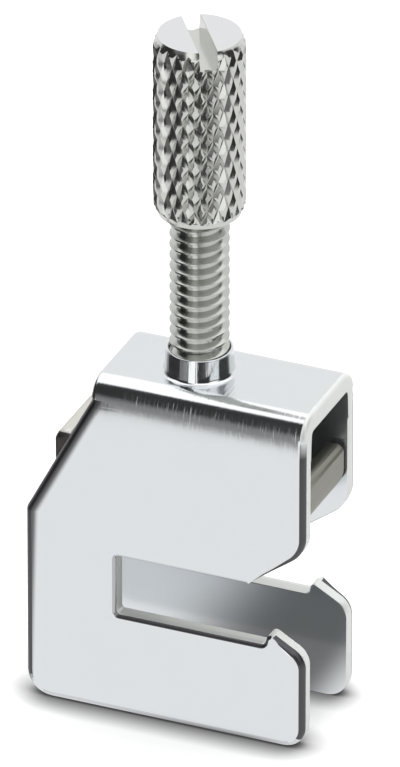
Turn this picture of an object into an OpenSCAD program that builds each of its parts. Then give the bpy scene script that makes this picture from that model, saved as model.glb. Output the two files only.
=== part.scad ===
// Shield connection clamp: a folded sheet frame that hooks on a busbar, a knurled
// screw in a drawn collar, and a pressure plate that the screw carries on its tip.
// X runs along the cable, with the busbar slot open towards +X. Y runs across the
// two side plates, Z is up, and the origin is in the middle of the feet.

/* [Folded frame] */
// Length of the side plates along X
frame_l = 20; // [18:0.5:26]
// Width over both side plates
frame_w = 8.85; // [8:0.05:14]
// Height from the feet to the top of the web
frame_h = 24.75; // [22:0.25:32]
// Thickness of the sheet
sheet_t = 1.25; // [0.8:0.05:1.5]
// Outer radius of the two folds
fold_r = 1.7; // [1.6:0.05:2.5]
// Radius of the foot corner under the slanted end
heel_r = 1.8; // [0.3:0.1:3]
// Radius of the foot corner under the slot's mouth
toe_r = 1.5; // [0.3:0.1:3]

/* [Slanted end] */
// Height at which the upright end turns into the slant
slant_z = 14.1; // [10:0.1:18]
// Distance from the end of the side plates to the end of the web
web_setback = 4.7; // [2:0.1:6]
// Radius of the two blunt corners of the slant
slant_r = 0.6; // [0.1:0.1:2]

/* [Busbar slot] */
// Height of the slot's floor above the feet
slot_z = 7.4; // [5:0.1:9]
// Clear height of the slot
slot_h = 4.45; // [3.2:0.05:6]
// Clear length of the pocket that takes the busbar
pocket_l = 10.7; // [10.1:0.1:12]
// Distance from the open end to the lip's slot face
lip_setback = 2.8; // [2:0.1:4]
// Height of the lip over the slot's floor
lip_h = 1; // [0.4:0.1:1.5]
// Distance that the lip's slot face leans out over its height
lip_lean = 0.2; // [0:0.05:0.5]
// Radius of the lip's tip
lip_r = 0.3; // [0.1:0.05:0.4]
// Fall of the jaw's top from the lip's tip to its nose
jaw_drop = 1.5; // [0.5:0.1:2.5]
// Radius of the jaw's nose below the mouth
jaw_r = 1.4; // [0.5:0.1:2]
// Length of the slanted lead-in over the mouth, measured along X
lead_in_l = 4; // [2:0.1:6]
// Angle of the lead-in over the mouth
lead_in_angle = 36; // [20:1:50]
// Radius where the lead-in meets the open end
mouth_r = 2.2; // [0.5:0.1:3]
// Radius inside the slot's corners
slot_r = 0.5; // [0.2:0.1:1.5]

/* [Screw collar] */
// Distance of the screw's axis from the middle of the frame along X
screw_offset = 0.7; // [-2:0.1:2]
// Height of the drawn collar over the web
collar_h = 1.7; // [0.8:0.1:3]
// Outer diameter of the collar at its rim
collar_d = 4.5; // [4.4:0.1:6]
// Growth of the collar's diameter from its rim to the web
collar_draft = 0.2; // [0:0.05:0.6]
// Radius at the foot of the collar and round the hole under the web
collar_r = 0.35; // [0.1:0.05:0.8]

/* [Knurled screw] */
// Diameter of the screw's thread
thread_d = 4; // [3:0.1:5]
// Rise of the thread in one turn
thread_pitch = 0.8; // [0.5:0.05:1.25]
// Depth of the thread's groove
thread_depth = 0.4; // [0.2:0.05:0.6]
// Free thread between the collar and the head at rest
thread_free = 10.15; // [1:0.05:11]
// Length of the threaded shank under the head
shank_l = 19.35; // [18:0.05:24]
// Diameter of the head over the knurl
head_d = 6.15; // [5:0.05:10]
// Length of the head
head_l = 13; // [6:0.5:18]
// Chamfer round the top and the bottom of the head
head_chamfer = 0.3; // [0.1:0.05:0.6]
// Width of the screwdriver slot
driver_w = 1.2; // [0.6:0.1:2]
// Depth of the screwdriver slot
driver_depth = 1.2; // [0.6:0.1:2.5]
// Turn of the screwdriver slot from the X axis at rest
driver_turn = -55; // [-90:1:90]

/* [Knurl] */
// Grooves of the knurl in each direction
knurl_starts = 22; // [12:1:32]
// Depth of the knurl's grooves
knurl_depth = 0.25; // [0.1:0.05:0.5]
// Length of one diamond along the screw
knurl_pitch = 2; // [1:0.1:3]

/* [Pressure plate] */
// Length of the pressure plate over its turned-up ends
strip_l = 18.3; // [14:0.1:19]
// Thickness of the strip
strip_t = 1.2; // [0.8:0.1:1.5]
// Height of the turned-up ends from the plate's underside
turn_up_h = 3.7; // [2:0.1:4.5]
// Inner radius of the two bends
bend_r = 0.5; // [0.2:0.1:1]
// Radius of the corners of the turned-up ends
tongue_r = 0.6; // [0.3:0.1:2]
// Radius along the outer rims of the turned-up ends
outer_rim_r = 0.7; // [0.1:0.05:0.8]
// Radius along the inner rims of the turned-up ends
inner_rim_r = 0.25; // [0.1:0.05:0.3]
// Diameter of the pin on the screw's tip
pin_d = 2.4; // [1.5:0.1:3]
// Diameter of the peened end under the pressure plate
peen_d = 3.6; // [3:0.1:4]
// Height of the peened end
peen_h = 0.5; // [0.3:0.1:1]

/* [Fits] */
// Radial clearance of the screw in its collar and of the pin in the plate
running_gap = 0.05; // [0.01:0.01:0.1]
// Gap above and below the pressure plate on its pin
end_float = 0.1; // [0.05:0.05:0.3]
// Gap between the pressure plate and each side plate
side_gap = 0.2; // [0.1:0.05:0.5]

/* [Hidden] */
$fn = 64;
arc_steps = 8;
// Overlap that lets a cut or a joined solid pass the face that it ends at
overcut = 1;

sheet_colour = "#D3D8DB";
screw_colour = "#B4B8B4";
strip_colour = "#96968F";

// Places along X, from the slanted end to the open end
x_heel = -frame_l / 2;
x_nose = frame_l / 2;
x_web = x_heel + web_setback;
x_lip = x_nose - lip_setback;
x_pocket = x_lip - pocket_l;
x_lead_in = x_nose - lead_in_l;

// Heights of the frame
z_lip = slot_z + lip_h;
z_ceiling = slot_z + slot_h;
z_mouth = z_ceiling + lead_in_l * tan(lead_in_angle);
z_collar = frame_h + collar_h;

// Radii of the lip and of the jaw's nose beside it, limited by the lip's own size
lip_round = min(lip_r, lip_h / 3);
jaw_round = min(jaw_r, lip_setback - lip_lean - lip_round);

// Radii of the turned pieces
bore_r = thread_d / 2 + running_gap;
pin_bore_r = pin_d / 2 + running_gap;
head_r = head_d / 2;

// Heights of the screw and the plate that hangs on it, at rest
z_head = z_collar + thread_free;
z_shoulder = z_head - shank_l;
z_strip = z_shoulder - end_float - strip_t;
z_peen = z_strip - end_float;

// Knurl rows between the two chamfers
knurl_l = head_l - 2 * head_chamfer;
knurl_rows = round(2 * knurl_l / knurl_pitch);
knurl_columns = 2 * knurl_starts;

// Corners of the thread in one turn, and the turns that reach past both ends of the shank
thread_steps = 20;
thread_spare = 2;
thread_turns = ceil((shank_l + overcut) / thread_pitch) + thread_spare;

// Width of the strip, and the radii of its rims, limited by its thickness
strip_w = frame_w - 2 * sheet_t - 2 * side_gap;
inner_rim = min(inner_rim_r, strip_t / 4);
outer_rim = min(outer_rim_r, strip_t * 2 / 3);

function unit(v) = v / norm(v);

// Points of the arc of radius r that rounds corner p between neighbours a and b
function corner_arc(a, p, b, r) =
    let (
        u = unit(a - p),
        w = unit(b - p),
        half = acos(u * w) / 2,
        centre = p + unit(u + w) * r / sin(half),
        first = p + u * r / tan(half) - centre,
        last = p + w * r / tan(half) - centre,
        start = atan2(first.y, first.x),
        sweep = (atan2(last.y, last.x) - start + 540) % 360 - 180
    )
    [for (i = [0:arc_steps]) let (t = start + sweep * i / arc_steps) centre + r * [cos(t), sin(t)]];

// Outline through corners given as [x, y, radius], where a radius of 0 stays sharp
function rounded(corners) =
    let (n = len(corners), flat = [for (c = corners) [c.x, c.y]])
    [for (i = [0:n - 1])
        each corners[i].z > 0
            ? corner_arc(flat[(i + n - 1) % n], flat[i], flat[(i + 1) % n], corners[i].z)
            : [flat[i]]];

// Extrudes a profile drawn in X and Z across the frame
module across(width) {
    rotate([90, 0, 0]) linear_extrude(width, center = true) children();
}

// Extrudes a profile drawn in Y and Z along the frame
module along(length) {
    rotate([90, 0, 90]) linear_extrude(length, center = true) children();
}

// Side view of the frame: feet, jaw, busbar slot, open end, web and slant
module side_outline() {
    polygon(rounded([
        [x_heel, 0, heel_r],
        [x_nose, 0, toe_r],
        [x_nose, z_lip - jaw_drop, jaw_round],
        [x_lip + lip_lean, z_lip, lip_round],
        [x_lip, slot_z, lip_round],
        [x_pocket, slot_z, slot_r],
        [x_pocket, z_ceiling, slot_r],
        [x_lead_in, z_ceiling, slot_r],
        [x_nose, z_mouth, mouth_r],
        [x_nose, frame_h, 0],
        [x_web, frame_h, 0],
        [x_web, frame_h - fold_r, slant_r],
        [x_heel, slant_z, slant_r]
    ]));
}

// End view of the folded sheet: two side plates joined by the web
module fold_section() {
    inner_w = frame_w / 2 - sheet_t;
    inner_h = frame_h - sheet_t;
    polygon(rounded([
        [-frame_w / 2, 0, 0],
        [-inner_w, 0, 0],
        [-inner_w, inner_h, fold_r - sheet_t],
        [inner_w, inner_h, fold_r - sheet_t],
        [inner_w, 0, 0],
        [frame_w / 2, 0, 0],
        [frame_w / 2, frame_h, fold_r],
        [-frame_w / 2, frame_h, fold_r]
    ]));
}

// Drawn collar, with a hollow radius where it grows out of the web
module collar() {
    rim_half = collar_d / 2;
    foot_half = rim_half + collar_draft / 2;
    translate([screw_offset, 0, frame_h])
        rotate_extrude()
            polygon(rounded([
                [0, -sheet_t / 2, 0],
                [foot_half + collar_r, -sheet_t / 2, 0],
                [foot_half + collar_r, 0, 0],
                [foot_half, 0, collar_r],
                [rim_half, collar_h, (rim_half - bore_r) / 2],
                [0, collar_h, 0]
            ]));
}

// Hole for the screw, with the draw radius of the collar under the web
module screw_hole() {
    inner_z = frame_h - sheet_t;
    translate([screw_offset, 0, inner_z - overcut])
        cylinder(r = bore_r, h = z_collar - inner_z + 2 * overcut);
    translate([screw_offset, 0, inner_z])
        cylinder(r1 = bore_r + collar_r, r2 = bore_r, h = collar_r);
}

// One folded sheet with its busbar slot and drawn collar
module clamp_frame() {
    color(sheet_colour)
        difference() {
            union() {
                intersection() {
                    along(frame_l) fold_section();
                    across(frame_w) side_outline();
                }
                collar();
            }
            screw_hole();
        }
}

// Ring of points round the screw's axis, at radius r
function plain_ring(r, z) =
    [for (k = [0:knurl_columns - 1]) let (t = k * 360 / knurl_columns) [r * cos(t), r * sin(t), z]];

// Ring of points that alternates between the diamonds' peaks and the groove crossings
function knurl_ring(row) =
    [for (k = [0:knurl_columns - 1])
        let (
            t = k * 360 / knurl_columns,
            r = (k + row) % 2 == 0 ? head_r : head_r - knurl_depth
        )
        [r * cos(t), r * sin(t), head_chamfer + knurl_l * row / knurl_rows]];

// Two triangles between a ring and the next, split along the groove that crosses them
function knurl_faces(ring, k) =
    let (
        next_k = (k + 1) % knurl_columns,
        a = ring * knurl_columns + k,
        b = ring * knurl_columns + next_k,
        c = b + knurl_columns,
        d = a + knurl_columns
    )
    (k + ring) % 2 == 1 ? [[a, d, b], [b, d, c]] : [[a, c, b], [a, d, c]];

// Head with a diamond knurl: rows of four-sided points between crossing grooves
module knurled_head() {
    rings = [
        plain_ring(head_r - head_chamfer, 0),
        for (row = [0:knurl_rows]) knurl_ring(row),
        plain_ring(head_r - head_chamfer, head_l)
    ];
    last_ring = len(rings) - 1;
    sides = [for (ring = [0:last_ring - 1], k = [0:knurl_columns - 1]) each knurl_faces(ring, k)];
    bottom = [for (k = [0:knurl_columns - 1]) k];
    top = [for (k = [knurl_columns - 1:-1:0]) last_ring * knurl_columns + k];
    polyhedron([for (ring = rings) each ring], concat(sides, [bottom, top]));
}

// Point of the thread: even lines run along the groove's root, odd ones along the crest
function thread_point(line, step) =
    let (
        t = step * 360 / thread_steps,
        r = line % 2 == 0 ? thread_d / 2 - thread_depth : thread_d / 2
    )
    [r * cos(t), r * sin(t), thread_pitch * (line / 2 + step / thread_steps)];

// Number of a point, where a line that has gone once round runs on two lines higher
function thread_index(line, step) =
    (line + 2 * floor(step / thread_steps)) * thread_steps + step % thread_steps;

// Two triangles of the flank between a line and the next
function thread_faces(line, step) =
    let (
        a = thread_index(line, step),
        b = thread_index(line, step + 1),
        c = thread_index(line + 1, step + 1),
        d = thread_index(line + 1, step)
    )
    [[a, d, b], [b, d, c]];

// Points round one open end of the thread, from a line's start to the same place a turn on
function thread_rim(line) =
    [for (step = [0:thread_steps]) thread_index(line, step), thread_index(line + 1, 0)];

// Right-hand thread, cut flat at the shoulder and inside the head
module thread() {
    top_line = 2 * thread_turns;
    points = [for (line = [0:top_line + 2], step = [0:thread_steps - 1]) thread_point(line, step)];
    flanks = [for (line = [0:top_line - 1], step = [0:thread_steps - 1]) each thread_faces(line, step)];
    low_end = len(points);
    high_end = low_end + 1;
    ends = [[0, 0, thread_pitch / 2], [0, 0, thread_pitch * (thread_turns + 1 / 2)]];
    low_rim = thread_rim(0);
    high_rim = thread_rim(top_line);
    rim_size = len(low_rim);
    low_cap = [for (i = [0:rim_size - 1]) [low_end, low_rim[i], low_rim[(i + 1) % rim_size]]];
    high_cap = [for (i = [0:rim_size - 1]) [high_end, high_rim[(i + 1) % rim_size], high_rim[i]]];
    intersection() {
        translate([0, 0, z_shoulder - thread_spare * thread_pitch])
            polyhedron(concat(points, ends), concat(flanks, low_cap, high_cap));
        translate([0, 0, z_shoulder]) cylinder(d = thread_d + overcut, h = shank_l + overcut);
    }
}

// Shank with its thread, the pin on its tip and the peened end
module shank() {
    thread();
    translate([0, 0, z_peen - peen_h / 2]) cylinder(d = pin_d, h = z_shoulder - z_peen + peen_h);
    translate([0, 0, z_peen - peen_h]) cylinder(d1 = pin_d, d2 = peen_d, h = peen_h / 2);
    translate([0, 0, z_peen - peen_h / 2]) cylinder(d = peen_d, h = peen_h / 2);
}

// One turned screw with a knurled, slotted head
module knurled_screw() {
    color(screw_colour)
        translate([screw_offset, 0, 0])
            difference() {
                union() {
                    translate([0, 0, z_head]) knurled_head();
                    shank();
                }
                translate([0, 0, z_head + head_l + (overcut - driver_depth) / 2])
                    rotate(driver_turn)
                        cube([head_d + overcut, driver_w, driver_depth + overcut], center = true);
            }
}

// Side view of the pressure plate: a strip with both ends turned up
module strip_profile() {
    outer = strip_l / 2;
    inner = outer - strip_t;
    polygon(rounded([
        [-outer, 0, bend_r + strip_t],
        [outer, 0, bend_r + strip_t],
        [outer, turn_up_h, outer_rim],
        [inner, turn_up_h, inner_rim],
        [inner, strip_t, bend_r],
        [-inner, strip_t, bend_r],
        [-inner, turn_up_h, inner_rim],
        [-outer, turn_up_h, outer_rim]
    ]));
}

// End view of the pressure plate: rounded corners on the turned-up ends
module tongue_outline() {
    half = strip_w / 2;
    polygon(rounded([
        [-half, 0, 0],
        [half, 0, 0],
        [half, turn_up_h, tongue_r],
        [-half, turn_up_h, tongue_r]
    ]));
}

// Pressure plate between the side plates, free to turn on the screw's pin
module pressure_plate() {
    color(strip_colour)
        translate([screw_offset, 0, z_strip])
            difference() {
                intersection() {
                    across(strip_w) strip_profile();
                    along(strip_l) tongue_outline();
                }
                translate([0, 0, -overcut]) cylinder(r = pin_bore_r, h = strip_t + 2 * overcut);
            }
}

clamp_frame();
knurled_screw();
pressure_plate();
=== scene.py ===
"""Dresses the shield connection clamp as it comes from the press and the lathe.

Three pieces stand for the three solids of the frame: the folded sheet, the turned
screw and the pressure strip. Their meshes are modelled in millimetres and scaled to
metres when they are finished.
"""

from __future__ import annotations

import logging
import math
from collections.abc import Callable
from dataclasses import dataclass
from enum import Enum

import bmesh
import bpy
from bmesh.types import BMEdge, BMesh, BMFace, BMVert
from bpy.types import Material, Node, NodeSocket, NodeTree, bpy_prop_collection
from mathutils import Matrix, Vector

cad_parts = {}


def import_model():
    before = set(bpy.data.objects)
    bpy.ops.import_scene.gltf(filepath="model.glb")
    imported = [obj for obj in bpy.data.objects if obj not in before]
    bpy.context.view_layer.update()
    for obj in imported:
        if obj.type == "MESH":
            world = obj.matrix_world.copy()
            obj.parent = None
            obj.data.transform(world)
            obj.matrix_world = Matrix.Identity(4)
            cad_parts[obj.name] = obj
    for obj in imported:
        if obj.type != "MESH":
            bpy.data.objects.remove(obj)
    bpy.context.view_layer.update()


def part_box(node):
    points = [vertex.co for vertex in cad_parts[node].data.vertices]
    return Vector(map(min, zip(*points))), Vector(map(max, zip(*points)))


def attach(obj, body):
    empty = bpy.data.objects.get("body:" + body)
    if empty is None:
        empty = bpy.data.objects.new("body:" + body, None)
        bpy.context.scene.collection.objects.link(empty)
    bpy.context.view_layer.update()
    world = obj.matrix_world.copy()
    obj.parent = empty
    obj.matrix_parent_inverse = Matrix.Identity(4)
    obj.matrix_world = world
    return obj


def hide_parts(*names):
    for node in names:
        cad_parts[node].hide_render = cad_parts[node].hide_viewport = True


LOG = logging.getLogger("shield_clamp")
MM = 0.001
FULL_TURN = 2 * math.pi
QUARTER_TURN = math.pi / 2
UP = (0, 0, 1)
# Two points closer than this, in millimetres, are one point
SAME_POINT = 1e-3
# Numbers of the Mix node's sockets, whose names repeat: its two values, its two colours and their result
VALUE_A, VALUE_B = 2, 3
COLOUR_A, COLOUR_B, COLOUR_OUT = 6, 7, 2
# Pair of values between which something fades or sets in
SoftEdge = tuple[float, float]


@dataclass(frozen=True)
class Seat:
    """Where a finished piece belongs: the solid it stands for, its body and its slot."""

    node: str
    body: str
    slot: str


class Piece(Enum):
    """The pieces of the clamp, each with its seat in the frame."""

    FOLDED_SHEET = Seat("clamp_frame", "frame", "plated_sheet")
    TURNED_SCREW = Seat("knurled_screw", "screw", "plated_screw")
    PRESSURE_STRIP = Seat("pressure_plate", "plate", "plated_strip")


class Mark(Enum):
    """Attributes that tell a finish how a stretch of the surface was made, and where light and shade are
    painted on it.
    """

    # Painted light and shade: a painted dark reflection on the sheet's rolled edges, and a painted
    # highlight on the top of the strip's left end
    PAINTED_LIGHT_AND_SHADE = "painted_light_and_shade"
    SHEAR = "shear"


@dataclass(frozen=True)
class Corner:
    """Corner of an outline in its own plane, with the radius that rounds it."""

    u: float
    v: float
    radius: float = 0.0


def clamp(value: float) -> float:
    """Limits a value to the range from 0 to 1."""
    return min(1.0, max(0.0, value))


def faded(value: float, start: float, end: float) -> float:
    """Share that falls from 1 to 0 as a value goes from a start to an end."""
    return 1 - clamp((value - start) / (end - start))


def everything(bm: BMesh) -> list[BMVert | BMEdge | BMFace]:
    """All vertices, edges and faces of a mesh, as an operator takes them."""
    return bm.verts[:] + bm.edges[:] + bm.faces[:]


def is_level(edge: BMEdge, height: float) -> bool:
    """True for an edge that lies level at a height."""
    return all(abs(vert.co.z - height) < SAME_POINT for vert in edge.verts)


def marked_mesh() -> BMesh:
    """Starts a mesh whose faces can be marked.

    Returns:
        An empty mesh with a face layer for each mark.
    """
    bm = bmesh.new()
    for mark in Mark:
        bm.faces.layers.float.new(mark.value)
    return bm


def join(bm: BMesh, other: BMesh) -> None:
    """Adds a second mesh to a mesh.

    Args:
        bm: Mesh that takes the second one.
        other: Second mesh. It is freed.
    """
    carrier = bpy.data.meshes.new("carrier")
    other.to_mesh(carrier)
    other.free()
    bm.from_mesh(carrier)
    bpy.data.meshes.remove(carrier)


def draw_line(bm: BMesh, points: list[tuple[float, float, float]]) -> tuple[list[BMVert], list[BMEdge]]:
    """Draws a line through points.

    Args:
        bm: Mesh that takes the line.
        points: Points of the line, in order.

    Returns:
        The line's vertices and its edges.
    """
    verts = [bm.verts.new(point) for point in points]
    edges = [bm.edges.new(pair) for pair in zip(verts, verts[1:])]
    return verts, edges


def score(bm: BMesh, place: tuple[float, float, float], across: tuple[float, float, float]) -> None:
    """Cuts the faces that a plane crosses, and takes nothing away."""
    bmesh.ops.bisect_plane(bm, geom=everything(bm), dist=SAME_POINT, plane_co=place, plane_no=across)


def round_corners(bm: BMesh, verts: list[BMVert], radii: list[float], segments: int) -> None:
    """Rounds corners of an outline or a line with arcs that touch both their sides.

    Args:
        bm: Mesh that holds the corners.
        verts: Corners, each with two edges.
        radii: Radius of each corner, where 0 leaves it sharp.
        segments: Edges in each arc.
    """
    for vert, radius in zip(verts, radii):
        if radius == 0:
            continue
        first, second = (edge.other_vert(vert).co - vert.co for edge in vert.link_edges)
        tangent = radius / math.tan(first.angle(second) / 2)
        bmesh.ops.bevel(
            bm,
            geom=[vert],
            offset=tangent,
            offset_type="ABSOLUTE",
            segments=segments,
            profile=0.5,
            affect="VERTICES",
            material=-1,
        )


def bevel_edges(bm: BMesh, edges: list[BMEdge], radius: float, segments: int) -> list[BMFace]:
    """Rounds edges.

    Args:
        bm: Mesh that holds the edges.
        edges: Edges to round.
        radius: Width of the rounding on each side of an edge.
        segments: Faces across the rounding.

    Returns:
        The faces of the rounding.
    """
    made = bmesh.ops.bevel(
        bm,
        geom=edges,
        offset=radius,
        offset_type="OFFSET",
        segments=segments,
        profile=0.5,
        affect="EDGES",
        material=-1,
        clamp_overlap=False,
    )
    return made["faces"]


def turn_profile(bm: BMesh, corners: list[Corner], axis_x: float, steps: int, segments: int) -> None:
    """Turns a profile of radius and height round an upright axis.

    Args:
        bm: Mesh that takes the turned faces.
        corners: Profile, with the radius in u and the height in v.
        axis_x: Place of the axis along X.
        steps: Faces round the axis.
        segments: Edges in each rounded corner of the profile.
    """
    verts, _ = draw_line(bm, [(axis_x, corner.u, corner.v) for corner in corners])
    round_corners(bm, verts, [corner.radius for corner in corners], segments)
    line = [edge for edge in bm.edges if edge.is_wire]
    ends = dict.fromkeys(vert for edge in line for vert in edge.verts)
    bmesh.ops.spin(
        bm,
        geom=[*line, *ends],
        cent=(axis_x, 0, 0),
        axis=UP,
        angle=FULL_TURN,
        steps=steps,
        use_merge=True,
    )


def pierce_face(bm: BMesh, face: BMFace, centre: Vector, radius: float, segments: int) -> None:
    """Pierces a round hole in a flat, level face.

    Args:
        bm: Mesh that holds the face.
        face: Face that the hole lies wholly inside.
        centre: Middle of the hole.
        radius: Radius of the hole.
        segments: Edges round the hole.
    """
    rim = face.edges[:]
    bmesh.ops.delete(bm, geom=[face], context="FACES_ONLY")
    circle = bmesh.ops.create_circle(
        bm, cap_ends=False, radius=radius, segments=segments, matrix=Matrix.Translation(centre)
    )
    hole = dict.fromkeys(edge for vert in circle["verts"] for edge in vert.link_edges)
    bmesh.ops.triangle_fill(bm, use_beauty=True, edges=[*rim, *hole], normal=UP)


def publish(bm: BMesh, piece: Piece, material: Material, sharp: float) -> None:
    """Makes a finished mesh an object in metres and seats it in the frame.

    Args:
        bm: Finished mesh, in millimetres. It is freed.
        piece: Piece that the mesh is.
        material: Finish of the piece.
        sharp: Angle between faces from which an edge is drawn sharp.
    """
    name = piece.name.lower()
    bmesh.ops.scale(bm, vec=(MM, MM, MM), verts=bm.verts[:])
    mesh = bpy.data.meshes.new(name)
    bm.to_mesh(mesh)
    bm.free()
    mesh.shade_smooth()
    mesh.set_sharp_from_angle(angle=sharp)
    mesh.materials.append(material)
    shown = bpy.data.objects.new(name, mesh)
    bpy.context.scene.collection.objects.link(shown)
    shading = shown.modifiers.new("flat_faces_stay_flat", "WEIGHTED_NORMAL")
    shading.keep_sharp = True
    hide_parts(piece.value.node)
    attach(shown, piece.value.body)
    LOG.info("%s: %d faces, rides on %s", name, len(mesh.polygons), piece.value.body)


@dataclass(frozen=True)
class PaintedRollShade:
    """Side of the plates whose edge the punch rolled over widely, which the finish alone shows,
    as a painted dark band that stands in for the roll's dark reflection.

    It has an outward direction, the distance of the roll's inner border that way, and a
    share of painted shade.
    """

    out: Vector
    border: float
    share: float


@dataclass
class FoldedSheet:
    """Frame folded from one plated sheet, with a busbar slot and a drawn collar."""

    length: float
    width: float
    collar_top: float
    axis_x: float
    sheet: float = 1.25
    fold_radius: float = 1.6
    fold_steps: int = 14
    # Angle that the side plates lean in before the fold, and the height of that lean
    lean: float = math.radians(6)
    lean_height: float = 2.0
    lean_steps: int = 8
    # Side plates: the corners of the foot, and the slanted end up to the web
    heel_radius: float = 1.8
    toe_radius: float = 1.5
    slant_start: float = 14.1
    web_setback: float = 4.7
    slant_radius: float = 0.6
    # Busbar slot, and the lip that stands up from its floor
    slot_floor: float = 7.4
    slot_height: float = 4.45
    pocket_length: float = 10.7
    slot_radius: float = 0.25
    lip_setback: float = 2.8
    lip_height: float = 1.0
    lip_lean: float = 0.2
    lip_radius: float = 0.36
    # Mouth of the slot: the jaw that falls away below it, and the lead-in above it
    jaw_drop: float = 1.5
    jaw_radius: float = 1.4
    lead_in_length: float = 4.0
    lead_in_angle: float = math.radians(36)
    mouth_radius: float = 2.2
    # Collar, from its fillet on the web to its rim
    collar_height: float = 1.7
    collar_rim_radius: float = 2.25
    collar_foot_radius: float = 2.35
    collar_fillet: float = 0.3
    collar_rim_round: float = 0.09
    bore_radius: float = 2.05
    # Length of the stretch of web that the collar is drawn from
    collar_field: float = 6.6
    arc_segments: int = 8
    turn_steps: int = 96
    # Angles between faces from which an edge counts as cut, and from which it is drawn sharp
    cut_angle: float = math.radians(60)
    sharp: float = math.radians(50)
    # Rounding that the punch leaves round the plates, on the fold's ends, round the slot
    # and on the inside
    plate_roll: float = 0.48
    fold_roll: float = 0.34
    slot_roll: float = 0.22
    roll_segments: int = 5
    inner_edge: float = 0.07
    inner_segments: int = 2
    # Reach of the slot's own rounding past the lip's tip
    lip_reach: float = 0.54
    # Wide rolls on the slanted end and on the upright end below it, whose dark reflections are painted as
    # dark bands:
    # their widths, their shares of painted shade, and the slope by which the second narrows towards the
    # foot
    slant_roll: float = 0.74
    end_roll: float = 0.8
    slant_share: float = 0.95
    end_share: float = 0.9
    end_slope: float = 0.03
    # Painted dark reflection on a rolled edge goes by the slope of its face, from -1, facing down, to 1,
    # facing up:
    # the slopes of tops and undersides, and the downward slopes between which it fades
    # on the left, on the right above the slot, and on the right below it
    top_slope: float = 0.85
    under_slope: float = -0.93
    left_fade: SoftEdge = (0.1, 0.5)
    mouth_fade: SoftEdge = (0.85, 0.97)
    toe_fade: SoftEdge = (0.5, 0.62)
    # Painted dark reflection that is left on undersides, in the slot, and on the right where it has faded
    under_share: float = 0.2
    slot_share: float = 0.4
    right_share: float = 0.12
    # How far a face of a roll is turned across the plate: in the slot's floor there is
    # painted dark reflection only above the first value, and on the right only below the second
    slot_across: float = 0.2
    right_across: float = 0.95
    # Height over which the painted dark reflection fades up the fold's ends
    fold_fade: float = 0.96

    @property
    def web_top(self) -> float:
        """Height of the web's upper face."""
        return self.collar_top - self.collar_height

    @property
    def web_end(self) -> float:
        """Place along X of the web's end over the slant."""
        return self.web_setback - self.length / 2

    @property
    def fold_axis_height(self) -> float:
        """Height of the axis that the sheet is folded round."""
        return self.web_top - self.fold_radius

    @property
    def fold_start(self) -> float:
        """Height at which the leaning plate runs into the fold."""
        return self.fold_axis_height + self.fold_radius * math.sin(self.lean)

    @property
    def lean_start(self) -> float:
        """Height at which the upright plate begins to lean."""
        return self.fold_start - self.lean_height

    @property
    def lean_depth(self) -> float:
        """Distance that the plate has leaned in where the fold starts."""
        return self.lean_height * math.tan(self.lean) / 2

    @property
    def slot_ceiling(self) -> float:
        """Height of the slot's ceiling."""
        return self.slot_floor + self.slot_height

    @property
    def lip(self) -> float:
        """Place along X of the lip's foot."""
        return self.length / 2 - self.lip_setback

    @property
    def pocket_end(self) -> float:
        """Place along X of the slot's closed end."""
        return self.lip - self.pocket_length

    @property
    def mouth_height(self) -> float:
        """Height at which the lead-in would meet the plate's right end."""
        return self.slot_ceiling + self.lead_in_length * math.tan(self.lead_in_angle)

    @property
    def web_hole_radius(self) -> float:
        """Radius at which the collar's fillet leaves the web."""
        return self.collar_foot_radius + self.collar_fillet

    def build(self) -> BMesh:
        """Models the sheet from its cut outline to its rolled edges.

        Returns:
            The finished mesh, in millimetres.
        """
        bm = marked_mesh()
        self.cut_plate(bm)
        self.fold_plate(bm)
        self.join_web(bm)
        self.thicken(bm)
        self.draw_collar(bm)
        self.roll_edges(bm)
        return bm

    def dress(self) -> Material:
        """Plates the sheet bright outside and leaves it dull inside the fold.

        Returns:
            The sheet's finish.
        """
        finish = BrightZincSheet(
            painted_roll_shades=self.painted_roll_shades(),
            roll_top=self.fold_start,
            plate_middle=(self.width - self.sheet) / 2,
            web_middle=self.web_top - self.sheet / 2,
        )
        return finish.make()

    def outline(self) -> list[Corner]:
        """Side view of the frame up to the fold.

        Returns:
            The corners, with X in u and Z in v.
        """
        heel = -self.length / 2
        nose = self.length / 2
        lip_top = self.slot_floor + self.lip_height
        return [
            Corner(heel, 0, self.heel_radius),
            Corner(nose, 0, self.toe_radius),
            Corner(nose, lip_top - self.jaw_drop, self.jaw_radius),
            Corner(self.lip + self.lip_lean, lip_top, self.lip_radius),
            Corner(self.lip, self.slot_floor, self.lip_radius),
            Corner(self.pocket_end, self.slot_floor, self.slot_radius),
            Corner(self.pocket_end, self.slot_ceiling, self.slot_radius),
            Corner(nose - self.lead_in_length, self.slot_ceiling, self.slot_radius),
            Corner(nose, self.mouth_height, self.mouth_radius),
            Corner(nose, self.fold_start),
            Corner(self.web_end, self.fold_start),
            Corner(self.web_end, self.fold_axis_height, self.slant_radius),
            Corner(heel, self.slant_start, self.slant_radius),
        ]

    def cut_plate(self, bm: BMesh) -> None:
        """Cuts the front side plate and leans its top in towards the fold.

        Args:
            bm: Empty mesh that takes the plate.
        """
        corners = self.outline()
        verts = [bm.verts.new((corner.u, -self.width / 2, corner.v)) for corner in corners]
        bm.faces.new(verts)
        round_corners(bm, verts, [corner.radius for corner in corners], self.arc_segments)
        for step in range(self.lean_steps):
            score(bm, (0, 0, self.lean_start + self.lean_height * step / self.lean_steps), UP)
        for vert in bm.verts:
            risen = max(0.0, vert.co.z - self.lean_start) / self.lean_height
            vert.co.y += self.lean_depth * risen**2

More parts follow.
